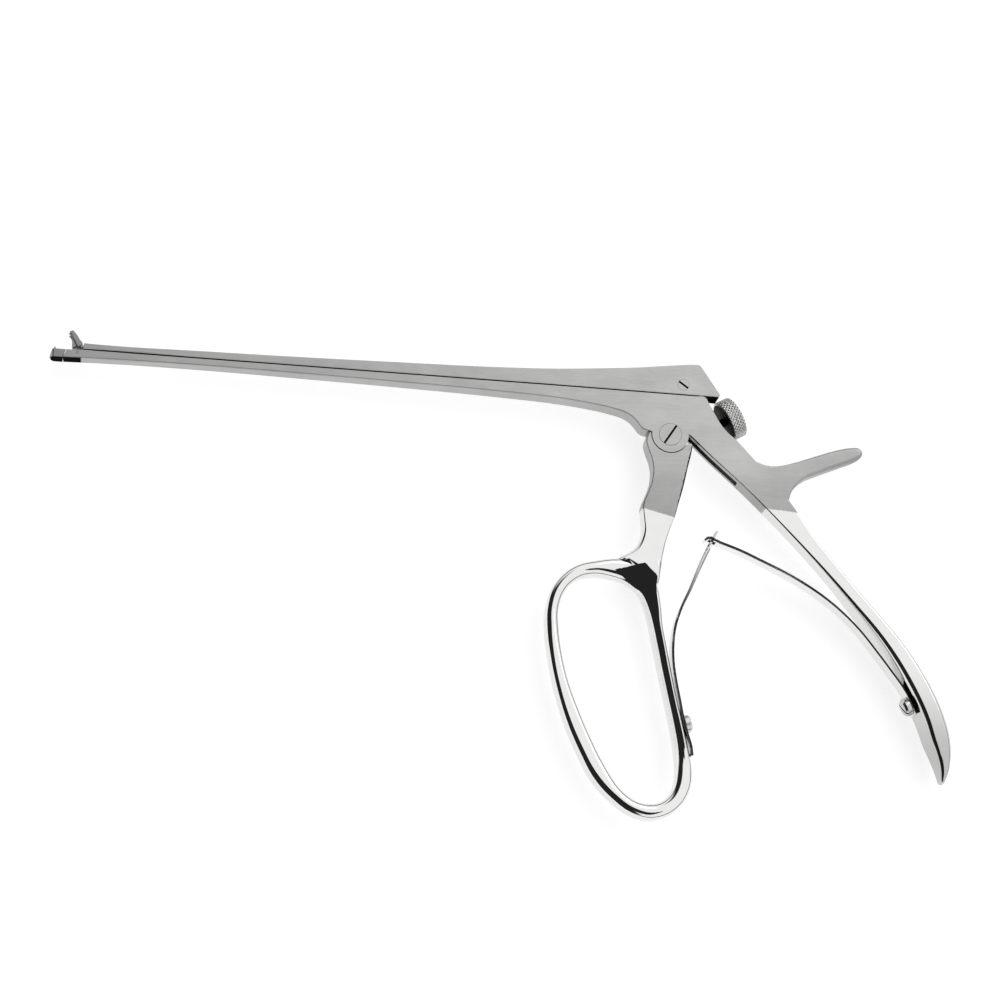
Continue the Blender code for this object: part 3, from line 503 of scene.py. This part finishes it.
JAW_SATIN = 0.36
SCREW_SATIN = 0.6
SCREW_ROUGH = 0.2


def lever_crispness(spot):
    """The lever's satin part and neck have small roundings, and its ring keeps its own."""
    if spot.y > NECK_TOP:
        return LEVER_CRISP
    return NECK_CRISP if spot.y > RING_TOP else 0.0


def dress_cad():
    # Painted shade goes on the frame's head and handle end, the lever's lower part and rear rim, the
    # undersides of the tip, slide and lower jaw, and the screw slots.
    frame_steel = steel("frame_steel", polish=HANDLE_LINE, changes=(
        painted_shade_along(*HEAD_PAINTED_SHADE), painted_shade_below(*HANDLE_PAINTED_SHADE), painted_shade_underside(TIP_END)))
    dress("frame", frame_steel, lambda spot: FRAME_CRISP, seam=True)
    lever_steel = steel("lever_steel", polish=LEVER_LINE, changes=(
        painted_shade_along(*LEVER_PAINTED_SHADE), painted_shade_rim(*LEVER_REAR),
        facing_way(NECK_FOOT, TOWARDS_VIEWER), facing_way(WEB, TOWARDS_DARK)))
    dress("finger_lever", lever_steel, lever_crispness, lean=True)
    dress("slide_bar", steel("slide_steel", changes=(painted_shade_underside(),)), lambda spot: SLIDE_CRISP, seam=True)
    close_seam(nodes["slide_bar"])
    dress("lower_jaw", steel("lower_jaw_steel", satin=JAW_SATIN, changes=(painted_shade_underside(),)))
    dress("upper_jaw", steel("upper_jaw_steel", satin=JAW_SATIN))
    dress("pivot_screw", steel("pivot_steel", brush_turn=PIVOT_BRUSH, changes=(painted_shade_slot(PIVOT_SLOT),)))
    dress("link_screw", steel("link_steel", changes=(painted_shade_slot(LINK_SLOT),)))
    dress("jaw_pivot_pin", steel("pin_steel", satin=JAW_SATIN))
    dress("jaw_drive_pin", steel("drive_pin_steel", satin=JAW_SATIN))
    for side in ("rear", "front"):
        screw_steel = steel(side + "_screw_steel", satin=SCREW_SATIN, satin_rough=SCREW_ROUGH)
        dress(side + "_spring_screw", screw_steel)


dress_cad()

# Stop screw with a diamond knurled rim. Heights run along its axis from the knob's middle.
STOP_TURN = math.radians(31.0)
STOP_AXIS = Vector((math.cos(STOP_TURN), math.sin(STOP_TURN), 0.0))
STOP_MIDDLE = at(20.6, 8.0)
STOP_REACH = 13.6
SHANK_R = 1.45
SHANK_CHAMFER = 0.4
COLLAR = 0.3
KNOB_R = 6.9
KNOB_T = 4.8
KNOB_BACK = -KNOB_T / 2 - 0.4
KNOB_FRONT = KNOB_T / 2 - 0.2
STEP = 0.02
BACK_ROUND = ((0.0, 1.1), (STEP, 0.75), (0.18, 0.42))
FRONT_ROUND = ((0.3, 0.4), (0.1, 0.72), (0.0, 1.0), (0.0, 2.2), (0.12, 2.5))
DISH_R = 2.0
RIM_START = KNOB_BACK + 0.3
RIM_END = KNOB_FRONT - 0.5
DIAMONDS = 34
SIDES = DIAMONDS * 8
RIM_ROWS = 36
KNURL_DEPTH = 0.28
GROOVE_SHARE = 0.55
KNOB_SHARP = math.radians(24)


def knurled_radius(angle, height):
    """The rim's radius where two sets of slanting grooves cross."""
    pitch = 2 * math.pi * KNOB_R / DIAMONDS
    around = angle * DIAMONDS / (2 * math.pi)
    groove = 0.0
    for way in (1, -1):
        phase = (around + way * height / pitch) % 1.0
        groove = max(groove, 1.0 - abs(phase - 0.5) * 2 / GROOVE_SHARE)
    return KNOB_R - KNURL_DEPTH * groove


def knob_profile():
    """Height and radius of each row, from the shank's end to the dished front.

    The knurled rows have no radius here.
    """
    rows = [(-STOP_REACH, SHANK_R - SHANK_CHAMFER), (-STOP_REACH + SHANK_CHAMFER, SHANK_R),
            (KNOB_BACK - STEP, SHANK_R), (KNOB_BACK, SHANK_R + COLLAR)]
    rows += [(KNOB_BACK + rise, KNOB_R - drop) for rise, drop in BACK_ROUND]
    rows += [(RIM_START + (RIM_END - RIM_START) * i / RIM_ROWS, None) for i in range(RIM_ROWS + 1)]
    rows += [(KNOB_FRONT - fall, KNOB_R - drop) for fall, drop in FRONT_ROUND]
    return rows + [(KNOB_FRONT - FRONT_ROUND[-1][0], DISH_R)]


def knob_mesh():
    work = bmesh.new()
    rows = []
    for height, radius in knob_profile():
        row = []
        for i in range(SIDES):
            angle = 2 * math.pi * i / SIDES
            r = knurled_radius(angle, height) if radius is None else radius
            row.append(work.verts.new(Vector((r * math.cos(angle), r * math.sin(angle), height)) * MM))
        rows.append(row)
    for a, b in zip(rows, rows[1:]):
        for i in range(SIDES):
            j = (i + 1) % SIDES
            work.faces.new((a[i], a[j], b[j], b[i]))
    work.faces.new(list(reversed(rows[0])))
    work.faces.new(rows[-1])
    bmesh.ops.recalc_face_normals(work, faces=work.faces)
    mesh = bpy.data.meshes.new("knurled_knob")
    work.to_mesh(mesh)
    work.free()
    turn = STOP_AXIS.to_track_quat("Z", "Y").to_matrix().to_4x4()
    mesh.transform(Matrix.Translation(STOP_MIDDLE) @ turn)
    mesh.shade_smooth()
    mesh.set_sharp_from_angle(angle=KNOB_SHARP)
    return mesh


def make_knob():
    """The knob, bright on its rim and front, with painted shade making its back and shank dark."""
    mesh = knob_mesh()
    rim_steel = steel("knurled_steel", satin=0.62, satin_rough=0.3, brush=0.4, changes=(worn_edges(0.3),))
    back_painted_shade_steel = steel("knob_back_painted_shade_steel", satin=0.012, satin_rough=0.6)
    mesh.materials.append(rim_steel)
    mesh.materials.append(back_painted_shade_steel)
    # The back face and the shank take the painted shade.
    for face in mesh.polygons:
        if (face.center - STOP_MIDDLE).dot(STOP_AXIS) < (KNOB_BACK + STEP) * MM:
            face.material_index = 1
    knob = link("knurled_knob", mesh)
    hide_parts("stop_screw")
    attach(knob, "stop")


make_knob()

# Leaf springs, which bend between the handle and the lever
LEAF_ROUGH = 0.08
SIDE_FACING = 0.15


def swell_strip(mesh, across, tip, root):
    """Moves a strip's two faces apart. Tip and root hold a height and how far each face moves there."""
    across = Vector(across)
    leans = [vertex.normal.dot(across) for vertex in mesh.vertices]
    for vertex, lean in zip(mesh.vertices, leans):
        side = math.copysign(1.0, lean) if abs(lean) > SIDE_FACING else 0.0
        height = (vertex.co - PIVOT).y / MM
        amount = root[1] + (tip[1] - root[1]) * ramped(height, root[0], tip[0])
        vertex.co += across * side * amount * MM
    mesh.update()


def bending_leaf(name, material, swell):
    """A copy of a leaf spring, with its two faces moved apart, which takes the place of the imported one."""
    node = name + "_spring"
    mesh = nodes[node].data.copy()
    mesh.name = name
    leaf = link(name, mesh)
    swell_strip(mesh, *swell)
    mesh.materials.clear()
    mesh.materials.append(material)
    even_normals(leaf)
    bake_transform(leaf)
    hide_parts(node)


# Both leaves take painted shade on their cut edges.
bending_leaf("rear_leaf",
             steel("rear_leaf_steel", polish=1.0, shine=0.85, shine_rough=LEAF_ROUGH,
                   changes=(painted_shade_cut_edges(-30, -31),)),
             ((0.38, 0.92, 0.0), (-40.0, 0.13), (-62.0, 0.0)))
bending_leaf("front_leaf",
             steel("front_leaf_steel", polish=1.0, shine=0.6, shine_rough=LEAF_ROUGH,
                   changes=(painted_shade_cut_edges(-40, -58),)),
             ((0.917, -0.4, 0.0), (-36.0, 0.33), (-58.0, 0.08)))

# Floor, world and lamp
FLOOR_SIZE = 6.0
FLOOR_COLOUR = 0.42
FLOOR_GLOW = 0.82
SKY = 1.05
DARK = 0.02
DARK_LEFT = (-0.22, -0.04)
DARK_NOT_BEHIND = (0.55, 0.85)
DARK_ROUND_CAMERA = (0.895, 0.915)
DARK_LOW = (0.10, 0.30)
KEY_PLACE = (0.7, 0.9, 1.1)
KEY_SIZE = 0.9
KEY_POWER = 3.0


def make_floor():
    """A pale floor that looks white to the camera and in reflections, and keeps the shadow."""
    work = bmesh.new()
    bmesh.ops.create_grid(work, x_segments=1, y_segments=1, size=FLOOR_SIZE / 2)
    mesh = bpy.data.meshes.new("floor")
    work.to_mesh(mesh)
    work.free()
    link("floor", mesh)
    made = bpy.data.materials.new("floor")
    tree = Tree(made)
    path = tree.add("ShaderNodeLightPath").outputs
    mirrored = tree.math("MAXIMUM", path["Is Glossy Ray"], path["Is Transmission Ray"])
    seen = tree.math("MAXIMUM", path["Is Camera Ray"], mirrored)
    diffuse = tree.add("ShaderNodeBsdfDiffuse", None, Color=grey(FLOOR_COLOUR))
    glow = tree.add("ShaderNodeEmission", None, Color=grey(1.0))
    tree.put(glow, "Strength", tree.math("MULTIPLY", seen, FLOOR_GLOW))
    both = tree.add("ShaderNodeAddShader")
    tree.put(both, "0", diffuse.outputs[0])
    tree.put(both, "1", glow.outputs[0])
    output = tree.add("ShaderNodeOutputMaterial")
    tree.put(output, "Surface", both.outputs[0])
    mesh.materials.append(made)


def make_world():
    """A bright studio that is dark on the left, round the camera and near the horizon."""
    world = bpy.data.worlds.new("studio")
    bpy.context.scene.world = world
    tree = Tree(world)
    way = tree.add("ShaderNodeTexCoord").outputs["Generated"]
    left = tree.math("MULTIPLY", tree.ramp(tree.axis(way, "X"), *DARK_LEFT, 1.0, 0.0, True),
                     tree.ramp(tree.axis(way, "Y"), *DARK_NOT_BEHIND, 1.0, 0.0, True))
    disc = tree.ramp(tree.dot(way, TO_CAMERA), *DARK_ROUND_CAMERA, 0.0, 1.0, True)
    low = tree.ramp(tree.axis(way, "Z"), *DARK_LOW, 1.0, 0.0, True)
    shade = tree.math("MAXIMUM", left, tree.math("MAXIMUM", disc, low))
    background = tree.add("ShaderNodeBackground", None, Color=grey(1.0))
    tree.put(background, "Strength", tree.blend(shade, SKY, DARK))
    output = tree.add("ShaderNodeOutputWorld")
    tree.put(output, "Surface", background.outputs[0])


def make_key_lamp():
    """A large soft lamp from behind on the right, aimed at the forceps."""
    data = bpy.data.lights.new("key", "AREA")
    data.shape = "RECTANGLE"
    data.size = KEY_SIZE
    data.size_y = KEY_SIZE
    data.energy = KEY_POWER
    lamp = link("key", data)
    lamp.location = KEY_PLACE
    lamp.rotation_mode = "QUATERNION"
    lamp.rotation_quaternion = Vector(KEY_PLACE).to_track_quat("Z", "Y")


make_floor()
make_world()
make_key_lamp()
